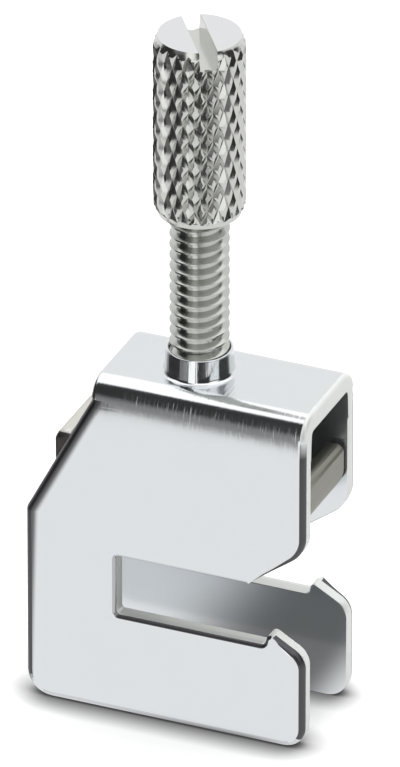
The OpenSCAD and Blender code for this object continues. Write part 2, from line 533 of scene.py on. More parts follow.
    def fold_plate(self, bm: BMesh) -> None:
        """Folds the plate's top edge over and mirrors the plate to the back.

        Args:
            bm: Mesh of the front plate.
        """
        top = [edge for edge in bm.edges if is_level(edge, self.fold_start)]
        fold_y = -self.width / 2 + self.lean_depth + self.fold_radius * math.cos(self.lean)
        bmesh.ops.spin(
            bm,
            geom=top + [vert for edge in top for vert in edge.verts],
            cent=(0, fold_y, self.fold_axis_height),
            axis=(1, 0, 0),
            angle=self.lean - QUARTER_TURN,
            steps=self.fold_steps,
        )
        bmesh.ops.mirror(bm, geom=everything(bm), merge_dist=0, axis="Y")

    def join_web(self, bm: BMesh) -> None:
        """Fills the web between the two folds, with a hole for the collar.

        Args:
            bm: Mesh of both folded plates.
        """
        for side in (-1, 1):
            score(bm, (self.axis_x + side * self.collar_field / 2, 0, 0), (1, 0, 0))
        sides = [edge for edge in bm.edges if is_level(edge, self.web_top)]
        web = bmesh.ops.bridge_loops(bm, edges=sides)["faces"]
        field = min(web, key=lambda face: abs(face.calc_center_median().x - self.axis_x))
        hole = Vector((self.axis_x, 0, self.web_top))
        pierce_face(bm, field, hole, self.web_hole_radius, self.turn_steps)

    def thicken(self, bm: BMesh) -> None:
        """Gives the sheet its thickness and marks the faces that the punch sheared.

        Args:
            bm: Mesh of the sheet's outside.
        """
        bmesh.ops.recalc_face_normals(bm, faces=bm.faces[:])
        bmesh.ops.solidify(bm, geom=bm.faces[:], thickness=self.sheet)
        shear = bm.faces.layers.float[Mark.SHEAR.value]
        for face in bm.faces:
            sides = {self.is_outside(vert.co) for vert in face.verts}
            face[shear] = float(len(sides) == 2)

    def is_outside(self, point: Vector) -> bool:
        """True for a point on the outside of the folded sheet."""
        half_sheet = self.sheet / 2
        return abs(point.y) > self.width / 2 - half_sheet or point.z > self.web_top - half_sheet

    def axis_distance(self, point: Vector) -> float:
        """Distance of a point from the screw's axis."""
        return math.hypot(point.x - self.axis_x, point.y)

    def draw_collar(self, bm: BMesh) -> None:
        """Draws the collar up out of the web, in place of the hole's plain wall.

        Args:
            bm: Mesh of the thick sheet.
        """
        reach = self.web_hole_radius + SAME_POINT
        wall = [face for face in bm.faces if all(self.axis_distance(v.co) < reach for v in face.verts)]
        bmesh.ops.delete(bm, geom=wall, context="FACES")
        web_under = self.web_top - self.sheet
        profile = [
            Corner(self.web_hole_radius, self.web_top),
            Corner(self.collar_foot_radius, self.web_top, self.collar_fillet),
            Corner(self.collar_rim_radius, self.collar_top, self.collar_rim_round),
            Corner(self.bore_radius, self.collar_top, self.collar_rim_round),
            Corner(self.bore_radius, web_under, self.collar_fillet),
            Corner(self.web_hole_radius, web_under),
        ]
        turn_profile(bm, profile, self.axis_x, self.turn_steps, self.arc_segments)
        bmesh.ops.remove_doubles(bm, verts=bm.verts[:], dist=SAME_POINT)
        bmesh.ops.recalc_face_normals(bm, faces=bm.faces[:])

    def roll_edges(self, bm: BMesh) -> None:
        """Rounds the cut edges, widely outside and finely inside, and marks painted dark reflection on the
        outer ones.

        Args:
            bm: Mesh of the sheet with its collar.
        """
        self.roll(bm, self.plate_roll, self.on_plate)
        self.roll(bm, self.fold_roll, self.on_fold)
        self.roll(bm, self.slot_roll, self.round_slot)
        inner = [edge for edge in self.cut_edges(bm, outside=False) if self.below_lean(edge)]
        bevel_edges(bm, inner, self.inner_edge, self.inner_segments)

    def roll(self, bm: BMesh, radius: float, belongs: Callable[[BMEdge], bool]) -> None:
        """Rounds some of the outer cut edges and marks the rounding with its share of painted dark
        reflection.

        Args:
            bm: Mesh of the sheet.
            radius: Radius of the rounding.
            belongs: Tells which of the edges are rounded.
        """
        edges = [edge for edge in self.cut_edges(bm, outside=True) if belongs(edge)]
        rolled = bevel_edges(bm, edges, radius, self.roll_segments)
        shear = bm.faces.layers.float[Mark.SHEAR.value]
        painted_light_and_shade = bm.faces.layers.float[Mark.PAINTED_LIGHT_AND_SHADE.value]
        bm.normal_update()
        for face in rolled:
            dull = face.normal.x > 0 and face.calc_center_median().z > self.fold_start
            face[shear] = float(dull)
            # Painted dark reflection, set by the way the face turns
            face[painted_light_and_shade] = 0.0 if dull else self.painted_edge_shade_at(face)

    def cut_edges(self, bm: BMesh, outside: bool) -> list[BMEdge]:
        """Edges where a sheared face meets the outside of the sheet, or the inside.

        Args:
            bm: Mesh of the sheet.
            outside: True for the outside.

        Returns:
            The edges.
        """
        bm.normal_update()
        return [
            edge
            for edge in bm.edges
            if edge.calc_face_angle(0) > self.cut_angle
            and all(self.is_outside(vert.co) == outside for vert in edge.verts)
        ]

    def on_fold(self, edge: BMEdge) -> bool:
        """True for an edge of the fold or the web."""
        return (edge.verts[0].co + edge.verts[1].co).z / 2 > self.fold_start + SAME_POINT

    def on_plate(self, edge: BMEdge) -> bool:
        """True for an edge of a side plate outside the slot."""
        return not self.on_fold(edge) and not self.round_slot(edge)

    def below_lean(self, edge: BMEdge) -> bool:
        """True for an edge of the upright part of a side plate."""
        return max(vert.co.z for vert in edge.verts) < self.lean_start - SAME_POINT

    def round_slot(self, edge: BMEdge) -> bool:
        """True for an edge that runs round the slot in the plane of its plate."""
        first, second = (vert.co for vert in edge.verts)
        return self.in_slot((first + second) / 2) and abs(first.y - second.y) < SAME_POINT

    def in_slot(self, point: Vector) -> bool:
        """Tells whether a point lies round the slot, from its lip to the start of the lead-in.

        Args:
            point: Point of a side plate.

        Returns:
            True for a point round the slot.
        """
        past_lip = self.lip + self.lip_lean + self.lip_reach
        over_ceiling = self.slot_ceiling + self.slot_radius / 2
        along = self.pocket_end - self.slot_radius < point.x < past_lip
        return along and self.slot_floor - self.slot_radius < point.z < over_ceiling

    def painted_edge_shade_at(self, face: BMFace) -> float:
        """Share of painted dark reflection on a face of a rolled edge, which goes by the way the face
        turns.

        Args:
            face: Face of a rolled edge.

        Returns:
            A share from 0 to 1: full on tops and upright edges, little underneath, fading up the fold.
        """
        centre = face.calc_center_median()
        if centre.z > self.fold_start:
            return faded(centre.z, self.fold_start, self.fold_start + self.fold_fade)
        facing = face.normal
        across = abs(facing.y)
        slope = facing.z / max(SAME_POINT, math.hypot(facing.x, facing.z))
        in_slot = self.in_slot(centre)
        if slope > self.top_slope:
            return float(across > self.slot_across or not in_slot)
        if slope < self.under_slope:
            return self.under_share
        if facing.x < 0:
            return faded(-slope, *self.left_fade)
        if in_slot:
            return self.slot_share
        if across >= self.right_across:
            return 0.0
        fade = self.mouth_fade if centre.z > self.slot_ceiling else self.toe_fade
        return self.right_share + (1 - self.right_share) * faded(-slope, *fade)

    def painted_roll_shades(self) -> tuple[PaintedRollShade, ...]:
        """The ends of the plates where the punch rolled the edge most, which get painted dark bands for the
        rolls' reflections.

        Returns:
            The roll of the slanted end, and that of the upright end below it.
        """
        corner = Vector((-self.length / 2, 0, self.slant_start))
        top = Vector((self.web_end, 0, self.fold_axis_height))
        slant = top - corner
        over_slant = Vector((-slant.z, 0, slant.x)).normalized()
        beside = Vector((-1, 0, self.end_slope)).normalized()
        return (
            PaintedRollShade(over_slant, over_slant.dot(corner) - self.slant_roll, self.slant_share),
            PaintedRollShade(beside, beside.dot(corner) - self.end_roll, self.end_share),
        )


@dataclass
class TurnedScrew:
    """Screw turned from one bar: a knurled, slotted head, a thread and a peened pin."""

    head_top: float
    tip: float
    axis_x: float
    head_radius: float
    head_length: float = 13.0
    head_chamfer: float = 0.3
    # Knurl: diamonds round the head, the height of a diamond, and the depth and half the
    # width of the grooves between them
    knurl_starts: int = 22
    knurl_pitch: float = 2.0
    knurl_depth: float = 0.25
    knurl_groove: float = 0.24
    # Height of the half diamonds along the knurl's ends, and the cuts that round their rims
    rim_depth: float = 0.2
    rim_cuts: int = 3
    # Screwdriver slot, and the angle from X at which it happens to stand
    slot_width: float = 1.2
    slot_depth: float = 1.2
    slot_turn: float = math.radians(-55)
    slot_edge: float = 0.06
    slot_edge_segments: int = 2
    shank_length: float = 19.35
    thread_radius: float = 2.0
    thread_depth: float = 0.42
    # Pitch that gives the turns counted between the collar and the head
    thread_pitch: float = 0.8
    thread_steps: int = 36
    # Turns of thread that are cut off again below the shoulder and above the shank
    turns_below: int = 2
    turns_above: int = 1
    # Pin below the thread, and its peened end
    pin_radius: float = 1.2
    peen_radius: float = 1.8
    peen_height: float = 0.5
    peen_round: float = 0.12
    pin_steps: int = 48
    arc_segments: int = 4
    # Angle between faces from which an edge is drawn sharp
    sharp: float = math.radians(30)

    @property
    def head_bottom(self) -> float:
        """Height of the head's underside."""
        return self.head_top - self.head_length

    @property
    def shoulder(self) -> float:
        """Height at which the thread ends and the pin begins."""
        return self.head_bottom - self.shank_length

    @property
    def groove_radius(self) -> float:
        """Radius at the bottom of the knurl's grooves."""
        return self.head_radius - self.knurl_depth

    def build(self) -> BMesh:
        """Models the screw from its thread to its peened tip.

        Returns:
            The finished mesh, in millimetres.
        """
        bm = bmesh.new()
        self.knurl_head(bm)
        self.mill_slot(bm)
        self.turn_pin(bm)
        shank = bmesh.new()
        self.cut_thread(shank)
        join(bm, shank)
        for height in (self.head_bottom, self.shoulder):
            bmesh.ops.triangle_fill(
                bm, use_beauty=True, edges=self.open_rims(bm, height), normal=(0, 0, -1)
            )
        bmesh.ops.recalc_face_normals(bm, faces=bm.faces[:])
        return bm

    def dress(self) -> Material:
        """Plates the screw, as it left the lathe."""
        return ZincTurnedSteel(self.axis_x, self.head_bottom, self.head_top).make()

    def open_rims(self, bm: BMesh, height: float) -> list[BMEdge]:
        """Edges of the open rims at a height."""
        return [edge for edge in bm.edges if edge.is_boundary and is_level(edge, height)]

    def cut_thread(self, bm: BMesh) -> None:
        """Cuts the right-hand thread between the shoulder and the head.

        Args:
            bm: Empty mesh that takes the thread.
        """
        pitch = self.thread_pitch
        root = self.axis_x + self.thread_radius - self.thread_depth
        crest = self.axis_x + self.thread_radius
        # A metric thread is flat over a quarter of its pitch at the root and an eighth at the crest
        root_flat = pitch / 4
        crest_flat = pitch / 8
        flank = (pitch - root_flat - crest_flat) / 2
        start = self.shoulder - self.turns_below * pitch - root_flat / 2
        profile = [
            (root, 0, start),
            (root, 0, start + root_flat),
            (crest, 0, start + root_flat + flank),
            (crest, 0, start + root_flat + flank + crest_flat),
            (root, 0, start + pitch),
        ]
        verts, edges = draw_line(bm, profile)
        turns = self.turns_below + math.ceil(self.shank_length / pitch) + self.turns_above
        bmesh.ops.spin(
            bm,
            geom=verts + edges,
            cent=(self.axis_x, 0, 0),
            axis=UP,
            dvec=(0, 0, pitch / self.thread_steps),
            angle=FULL_TURN * turns,
            steps=self.thread_steps * turns,
        )
        bmesh.ops.remove_doubles(bm, verts=bm.verts[:], dist=SAME_POINT)
        for height, above in ((self.head_bottom, True), (self.shoulder, False)):
            bmesh.ops.bisect_plane(
                bm,
                geom=everything(bm),
                dist=SAME_POINT,
                plane_co=(0, 0, height),
                plane_no=UP,
                use_snap_center=True,
                clear_outer=above,
                clear_inner=not above,
            )

    def knurl_head(self, bm: BMesh) -> None:
        """Rolls the diamond knurl, turns both chamfers and closes the head's top.

        Args:
            bm: Empty mesh that takes the head.
        """
        low = self.head_bottom + self.head_chamfer
        height = self.head_length - 2 * self.head_chamfer
        rows = round(height / self.knurl_pitch)
        side = self.axis_x + self.groove_radius
        verts, edges = draw_line(bm, [(side, 0, low + height * row / rows) for row in range(rows + 1)])
        bmesh.ops.spin(
            bm,
            geom=verts + edges,
            cent=(self.axis_x, 0, 0),
            axis=UP,
            angle=FULL_TURN,
            steps=self.knurl_starts,
            use_merge=True,
        )
        # Poked fields without their old borders are diamonds, with half diamonds along both ends
        borders = bm.edges[:]
        rims = [edge for edge in borders if edge.is_boundary]
        bmesh.ops.poke(bm, faces=bm.faces[:])
        bmesh.ops.dissolve_edges(bm, edges=[edge for edge in borders if not edge.is_boundary])
        bmesh.ops.subdivide_edges(bm, edges=rims, cuts=self.rim_cuts)
        self.push_to_radius(bm.verts[:], self.groove_radius)
        bmesh.ops.recalc_face_normals(bm, faces=bm.faces[:])
        diamonds = [face for face in bm.faces if len(face.verts) == 4]
        halves = [face for face in bm.faces if len(face.verts) != 4]
        for faces, depth in ((diamonds, self.knurl_depth), (halves, self.rim_depth)):
            bmesh.ops.inset_individual(
                bm, faces=faces, thickness=self.knurl_groove, depth=depth, use_even_offset=True
            )
        for rim_height, end in ((low, self.head_bottom), (low + height, self.head_top)):
            self.turn_chamfer(bm, self.open_rims(bm, rim_height), end)
        bmesh.ops.holes_fill(bm, edges=self.open_rims(bm, self.head_top), sides=0)

    def push_to_radius(self, verts: list[BMVert], radius: float) -> None:
        """Moves vertices straight out or in to a radius round the screw's axis.

        Args:
            verts: Vertices to move.
            radius: Radius that they come to.
        """
        for vert in verts:
            out = Vector((vert.co.x - self.axis_x, vert.co.y, 0)).normalized() * radius
            vert.co.x = self.axis_x + out.x
            vert.co.y = out.y

    def turn_chamfer(self, bm: BMesh, rim: list[BMEdge], end: float) -> None:
        """Carries the rim of the knurl on to a smaller rim at the end of the head.

        Args:
            bm: Mesh that holds the rim.
            rim: Edges of the rim.
            end: Height of the head's end.
        """
        made = bmesh.ops.extrude_edge_only(bm, edges=rim)["geom"]
        verts = [item for item in made if isinstance(item, BMVert)]
        self.push_to_radius(verts, self.head_radius - self.head_chamfer)
        for vert in verts:
            vert.co.z = end

    def faces_above(self, bm: BMesh, height: float) -> list[BMFace]:
        """Faces that reach above a height."""
        return [face for face in bm.faces if max(vert.co.z for vert in face.verts) > height + SAME_POINT]

    def mill_slot(self, bm: BMesh) -> None:
        """Mills the screwdriver slot across the head's top.

        Args:
            bm: Mesh of the closed head.
        """
        floor = self.head_top - self.slot_depth
        half = self.slot_width / 2
        across = Vector((-math.sin(self.slot_turn), math.cos(self.slot_turn), 0))
        middle = Vector((self.axis_x, 0, floor))
        cuts = ((middle + across * half, across), (middle - across * half, across), (middle, UP))
        bmesh.ops.triangulate(bm, faces=self.faces_above(bm, floor))
        for place, direction in cuts:
            upper = self.faces_above(bm, floor)
            bounds = dict.fromkeys(part for face in upper for part in (*face.verts, *face.edges))
            bmesh.ops.bisect_plane(
                bm,
                geom=[*upper, *bounds],
                dist=SAME_POINT,
                plane_co=place,
                plane_no=direction,
                use_snap_center=True,
            )
        milled = [
            face
            for face in bm.faces
            if face.calc_center_median().z > floor
            and abs((face.calc_center_median() - middle).dot(across)) < half
        ]
        older = {edge for edge in bm.edges if edge.is_boundary}
        bmesh.ops.delete(bm, geom=milled, context="FACES")
        opened = [edge for edge in bm.edges if edge.is_boundary and edge not in older]
        ledges = [edge for edge in opened if is_level(edge, floor)]
        lips = []
        for side in (-half, half):
            wall = [
                edge
                for edge in opened
                if all(abs((vert.co - middle).dot(across) - side) < SAME_POINT for vert in edge.verts)
            ]
            ends = dict.fromkeys(vert for edge in wall for vert in edge.verts)
            chord = bm.edges.new([vert for vert in ends if abs(vert.co.z - floor) < SAME_POINT])
            bmesh.ops.contextual_create(bm, geom=[*wall, chord])
            ledges.append(chord)
            lips += [edge for edge in wall if is_level(edge, self.head_top)]
        bmesh.ops.contextual_create(bm, geom=ledges)
        bevel_edges(bm, lips, self.slot_edge, self.slot_edge_segments)

    def turn_pin(self, bm: BMesh) -> None:
        """Turns the pin and its peened end below the shoulder.

        Args:
            bm: Mesh of the head.
        """
        peen_top = self.tip + self.peen_height
        profile = [
            Corner(self.pin_radius, self.shoulder),
            Corner(self.pin_radius, peen_top),
            Corner(self.peen_radius, peen_top, self.peen_round),
            Corner(self.peen_radius, self.tip + self.peen_height / 2, self.peen_round),
            Corner(self.pin_radius, self.tip, self.peen_round),
            Corner(0, self.tip),
        ]
        turn_profile(bm, profile, self.axis_x, self.pin_steps, self.arc_segments)
        turned = [vert for vert in bm.verts if vert.co.z < self.head_bottom - SAME_POINT]
        bmesh.ops.remove_doubles(bm, verts=turned, dist=SAME_POINT)


@dataclass
class PressureStrip:
    """Pressure plate bent from a strip, both ends turned up, free to turn on the pin."""

    low: Vector
    high: Vector
    thickness: float = 1.2
    bend_radius: float = 0.5
    # Turned-up ends: the radius of their two upper corners, and that over their outside
    tongue_radius: float = 0.6
    end_radius: float = 0.7
    # Rounding of the cut edges
    rim_radius: float = 0.2
    rim_segments: int = 3
    hole_radius: float = 1.25
    hole_steps: int = 48
    arc_segments: int = 8
    # Angles between faces from which an edge counts as cut, and from which it is drawn sharp
    cut_angle: float = math.radians(60)
    sharp: float = math.radians(50)
    # Angle off the long sides up to which a face counts as sheared
    shear_angle: float = math.radians(50)
    # Height of the painted highlight on the top of the left end
    painted_highlight_height: float = 0.175

    @property
    def middle_x(self) -> float:
        """Place of the strip's middle along X."""
        return (self.low.x + self.high.x) / 2

    def build(self) -> BMesh:
        """Models the strip from its bent line to its rounded rims.

        Returns:
            The finished mesh, in millimetres.
        """
        bm = marked_mesh()
        self.bend(bm)
        self.pierce(bm)
        bmesh.ops.recalc_face_normals(bm, faces=bm.faces[:])
        bmesh.ops.solidify(bm, geom=bm.faces[:], thickness=self.thickness)
        self.round_ends(bm)
        self.round_rims(bm)
        self.mark_cuts(bm)
        return bm

    def dress(self) -> Material:
        """Plates the strip dull."""
        return DullZincStrip().make()

    def bend(self, bm: BMesh) -> None:
        """Bends the strip's underside and rounds the corners of its turned-up ends.

        Args:
            bm: Empty mesh that takes the underside.
        """
        outer_bend = self.bend_radius + self.thickness
        corners = [
            Corner(self.low.x, self.high.z),
            Corner(self.low.x, self.low.z, outer_bend),
            Corner(self.high.x, self.low.z, outer_bend),
            Corner(self.high.x, self.high.z),
        ]
        verts, _ = draw_line(bm, [(corner.u, self.low.y, corner.v) for corner in corners])
        round_corners(bm, verts, [corner.radius for corner in corners], self.arc_segments)
        made = bmesh.ops.extrude_edge_only(bm, edges=bm.edges[:])["geom"]
        far = [item for item in made if isinstance(item, BMVert)]
        bmesh.ops.translate(bm, verts=far, vec=(0, self.high.y - self.low.y, 0))
        tips = [vert for vert in bm.verts if abs(vert.co.z - self.high.z) < SAME_POINT]
        round_corners(bm, tips, [self.tongue_radius] * len(tips), self.arc_segments)

    def pierce(self, bm: BMesh) -> None:
        """Pierces the hole for the screw's pin in the flat middle."""
        middle = max(bm.faces, key=lambda face: face.calc_area())
        pierce_face(bm, middle, Vector((self.middle_x, 0, self.low.z)), self.hole_radius, self.hole_steps)

    def round_ends(self, bm: BMesh) -> None:
        """Rounds the turned-up ends over on their outside.

        Args:
            bm: Mesh of the thick strip.
        """
        start = self.high.z - self.end_radius
        for step in range(self.arc_segments):
            rise = self.end_radius * math.sin(QUARTER_TURN * step / self.arc_segments)
            score(bm, (0, 0, start + rise), UP)
        for vert in bm.verts:
            risen = clamp((vert.co.z - start) / self.end_radius)
            inset = self.end_radius * (1 - math.sqrt(1 - risen**2))
            vert.co.x = min(max(vert.co.x, self.low.x + inset), self.high.x - inset)

    def round_rims(self, bm: BMesh) -> None:
        """Rounds the strip's cut edges, apart from those of the pin's hole.

        Args:
            bm: Mesh of the strip with its rounded ends.
        """
        bm.normal_update()
        reach = self.hole_radius + SAME_POINT
        rims = [
            edge
            for edge in bm.edges
            if edge.calc_face_angle(0) > self.cut_angle
            and any(math.hypot(vert.co.x - self.middle_x, vert.co.y) > reach for vert in edge.verts)
        ]
        bevel_edges(bm, rims, self.rim_radius, self.rim_segments)

    def mark_cuts(self, bm: BMesh) -> None:
        """Marks the long sheared sides, and a painted highlight on the top of the left end.

        Args:
            bm: Finished mesh of the strip.
        """
        bm.normal_update()
        shear = bm.faces.layers.float[Mark.SHEAR.value]
        painted_light_and_shade = bm.faces.layers.float[Mark.PAINTED_LIGHT_AND_SHADE.value]
        for face in bm.faces:
            centre = face.calc_center_median()
            face[shear] = float(abs(face.normal.y) > math.cos(self.shear_angle))
            # Painted highlight on the top of the left end, where it stands out in the light
            face[painted_light_and_shade] = float(centre.x < 0 and centre.z > self.high.z - self.painted_highlight_height)


def linear(colour: str) -> tuple[float, float, float, float]:
    """Turns an sRGB hex colour to linear light.

    Args:
        colour: Colour as #RRGGBB.

    Returns:
        Linear red, green and blue, and an alpha of 1.
    """
    channels = [int(colour[place : place + 2], 16) / 255 for place in (1, 3, 5)]
    red, green, blue = (c / 12.92 if c <= 0.04045 else ((c + 0.055) / 1.055) ** 2.4 for c in channels)
    return red, green, blue, 1.0


def add_node(
    tree: NodeTree, kind: str, inputs: dict[str | int, object] | None = None, **settings: object
) -> Node:
    """Adds a node with its settings, and sets or links its inputs.

    Args:
        tree: Node tree that takes the node.
        kind: Blender's name of the node type.
        inputs: Values, or output sockets to link, by the input's name or number.
        settings: The node's own options.

    Returns:
        The new node.
    """
    node = tree.nodes.new(kind)
    for name, value in settings.items():
        setattr(node, name, value)
    for name, value in (inputs or {}).items():
        if isinstance(value, NodeSocket):
            tree.links.new(value, node.inputs[name])
        else:
            node.inputs[name].default_value = value
    return node


def new_material(name: str) -> tuple[Material, NodeTree]:
    """Makes an empty node material.

    Args:
        name: Name of the finish.

    Returns:
        The material and its node tree.
    """
    material = bpy.data.materials.new(name)
    material.use_nodes = True
    material.node_tree.nodes.clear()
    return material, material.node_tree


def per_mm(size: float) -> float:
    """Scale at which a noise texture on Object coordinates has grains of a size in millimetres."""
    return 1 / (size * MM)


@dataclass(frozen=True)
class BrightZincSheet:
    """Bright zinc on rolled steel sheet: a pale blurred mirror with fine upright lines.

    The cut edges are satin, and the rolled edges have a painted dark reflection.
    """

    painted_roll_shades: tuple[PaintedRollShade, ...]
    # Height of the fold's start, where the painted dark bands of the wide rolls end
    roll_top: float
    # Distance of the plates' middle from the middle plane, and the height of the web's middle
    plate_middle: float
    web_middle: float
    # Height from which the inside is left dull, and how dull it is
    dull_from: float = 17.5
    dull_share: float = 0.2
    # Half the width over which the painted dark band of a wide roll fades
    roll_fade: float = 0.22
    # Height below the fold over which the painted dark reflection on the right end fades
    right_fade: float = 1.3
    colour: str = "#DFE2E4"
    # Colour and roughness of the painted dark reflection on the rolled edges
    painted_edge_shade_colour: str = "#5C5B5F"
    edge_roughness: float = 0.4
    shear_colour: str = "#CBCECB"
    shear_roughness: float = 0.3
    shear_metallic: float = 0.35
    # Drawing streaks below the fold, and their reach. Real ones are finer: these are as
    # coarse as they need to be to show
    streak_width: float = 0.16
    streak_length: float = 2.5
    streak_height: float = 0.014
    streak_octaves: float = 3.0
    streak_reach: float = 5.0
    # Faint clouds in the plating, and the roughness between which they vary
    cloud_size: float = 3.0
    cloud_octaves: float = 4.0
    smoothest: float = 0.1
    roughest: float = 0.17

    def make(self) -> Material:
        """Builds the material.

        Returns:
            The finished material.
        """
        material, tree = new_material("bright_zinc_sheet")
        place = add_node(tree, "ShaderNodeTexCoord").outputs["Object"]
        axes = add_node(tree, "ShaderNodeSeparateXYZ", {"Vector": place}).outputs
        sheared = add_node(tree, "ShaderNodeAttribute", attribute_name=Mark.SHEAR.value).outputs["Fac"]
        shares = {0: sheared, 1: self.dull_inside(tree, axes)}
        satin = add_node(tree, "ShaderNodeMath", shares, operation="MAXIMUM").outputs[0]
        # Painted dark reflection on the rolled edges
        painted_light_and_shade = self.painted_edge_shade(tree, place, axes)
        grain = {"Vector": place, "Scale": per_mm(self.cloud_size), "Detail": self.cloud_octaves}
        clouds = add_node(tree, "ShaderNodeTexNoise", grain).outputs["Fac"]
        spread = {"Value": clouds, "To Min": self.smoothest, "To Max": self.roughest}
        rough = add_node(tree, "ShaderNodeMapRange", spread).outputs["Result"]
        colour = linear(self.colour)
        layers = (
            (satin, self.shear_colour, self.shear_roughness),
            (painted_light_and_shade, self.painted_edge_shade_colour, self.edge_roughness),
        )
        for share, tint, roughness in layers:
            mix = {"Factor": share, COLOUR_A: colour, COLOUR_B: linear(tint)}
            colour = add_node(tree, "ShaderNodeMix", mix, data_type="RGBA").outputs[COLOUR_OUT]
            mix = {"Factor": share, VALUE_A: rough, VALUE_B: roughness}
            rough = add_node(tree, "ShaderNodeMix", mix, data_type="FLOAT").outputs[0]
        mix = {"Factor": satin, VALUE_A: 1.0, VALUE_B: self.shear_metallic}
        metal = add_node(tree, "ShaderNodeMix", mix, data_type="FLOAT").outputs[0]
        shader = add_node(
            tree,
            "ShaderNodeBsdfPrincipled",
            {
                "Base Color": colour,
                "Metallic": metal,
                "Roughness": rough,
                "Normal": self.streaked(tree, place, axes),
            },
        )
        add_node(tree, "ShaderNodeOutputMaterial", {"Surface": shader.outputs["BSDF"]})
        return material

    def painted_edge_shade(self, tree: NodeTree, place: NodeSocket, axes: bpy_prop_collection) -> NodeSocket:
        """Share of painted dark reflection on the rolled edges, which fades on the right towards the fold.

        Args:
            tree: Node tree of the material.
            place: Socket with the place on the piece.
            axes: Sockets with that place along X, Y and Z.

        Returns:
            A socket that is 0 away from the rolled edges.
        """
        left = add_node(tree, "ShaderNodeMath", {0: axes["X"], 1: 0.0}, operation="LESS_THAN").outputs[0]
        limits = {
            "Value": axes["Z"],
            "From Min": self.roll_top * MM,
            "From Max": (self.roll_top - self.right_fade) * MM,
        }
        below_fold = add_node(tree, "ShaderNodeMapRange", limits).outputs["Result"]
        kept = add_node(tree, "ShaderNodeMath", {0: left, 1: below_fold}, operation="MAXIMUM").outputs[0]
        marked = add_node(tree, "ShaderNodeAttribute", attribute_name=Mark.PAINTED_LIGHT_AND_SHADE.value).outputs["Fac"]
        share = add_node(tree, "ShaderNodeMath", {0: marked, 1: kept}, operation="MULTIPLY").outputs[0]
        for roll in self.painted_roll_shades:
            shares = {0: share, 1: self.rolled(tree, place, axes, roll)}
            share = add_node(tree, "ShaderNodeMath", shares, operation="MAXIMUM").outputs[0]
        return share

    def rolled(
        self, tree: NodeTree, place: NodeSocket, axes: bpy_prop_collection, roll: PaintedRollShade
    ) -> NodeSocket:
        """Share of painted shade on a wide roll: a dark band in place of its dark reflection.

        Args:
            tree: Node tree of the material.
            place: Socket with the place on the piece.
            axes: Sockets with that place along X, Y and Z.
            roll: Side that is rolled over.

        Returns:
            A socket that rises towards the side's edge and is 0 above the fold's start.
        """
        outward = add_node(tree, "ShaderNodeVectorMath", {0: place, 1: roll.out}, operation="DOT_PRODUCT")
        limits = {
            "Value": outward.outputs["Value"],
            "From Min": (roll.border - self.roll_fade) * MM,
            "From Max": (roll.border + self.roll_fade) * MM,
            "To Max": roll.share,
        }
        across = add_node(tree, "ShaderNodeMapRange", limits, interpolation_type="SMOOTHSTEP")
        heights = {0: axes["Z"], 1: self.roll_top * MM}
        below = add_node(tree, "ShaderNodeMath", heights, operation="LESS_THAN").outputs[0]
        shares = {0: across.outputs["Result"], 1: below}
        return add_node(tree, "ShaderNodeMath", shares, operation="MULTIPLY").outputs[0]

    def dull_inside(self, tree: NodeTree, axes: bpy_prop_collection) -> NodeSocket:
        """Share of dullness on the inside of the fold, which no tool burnishes.

        Args:
            tree: Node tree of the material.
            axes: Sockets with the place on the piece along X, Y and Z.

        Returns:
            A socket that is 0 on the outside and low down.
        """
        beside = add_node(tree, "ShaderNodeMath", {0: axes["Y"]}, operation="ABSOLUTE").outputs[0]
        limits = (
            (beside, self.plate_middle, "LESS_THAN"),
            (axes["Z"], self.web_middle, "LESS_THAN"),
            (axes["Z"], self.dull_from, "GREATER_THAN"),
        )
        share = self.dull_share
        for value, limit, test in limits:
            within = add_node(tree, "ShaderNodeMath", {0: value, 1: limit * MM}, operation=test).outputs[0]
            share = add_node(tree, "ShaderNodeMath", {0: share, 1: within}, operation="MULTIPLY").outputs[0]
        return share

    def streaked(self, tree: NodeTree, place: NodeSocket, axes: bpy_prop_collection) -> NodeSocket:
        """Relief of the drawing streaks.

        Args:
            tree: Node tree of the material.
            place: Socket with the place on the piece.
            axes: Sockets with that place along X, Y and Z.

        Returns:
            The socket of the normals, which are flat low down.
        """
        along = per_mm(self.streak_length)
        stretch = {"Vector": place, "Scale": (per_mm(self.streak_width), along, along)}
        stretched = add_node(tree, "ShaderNodeMapping", stretch).outputs["Vector"]
        grain = {"Vector": stretched, "Scale": 1.0, "Detail": self.streak_octaves}
        streaks = add_node(tree, "ShaderNodeTexNoise", grain).outputs["Fac"]
        limits = {
            "Value": axes["Z"],
            "From Min": (self.roll_top - self.streak_reach) * MM,
            "From Max": (self.roll_top - self.streak_reach / 2) * MM,
        }
        drawn = add_node(tree, "ShaderNodeMapRange", limits).outputs["Result"]
        relief = add_node(tree, "ShaderNodeMath", {0: streaks, 1: drawn}, operation="MULTIPLY").outputs[0]
        depth = {"Height": relief, "Strength": 1.0, "Distance": self.streak_height * MM}
        return add_node(tree, "ShaderNodeBump", depth).outputs["Normal"]


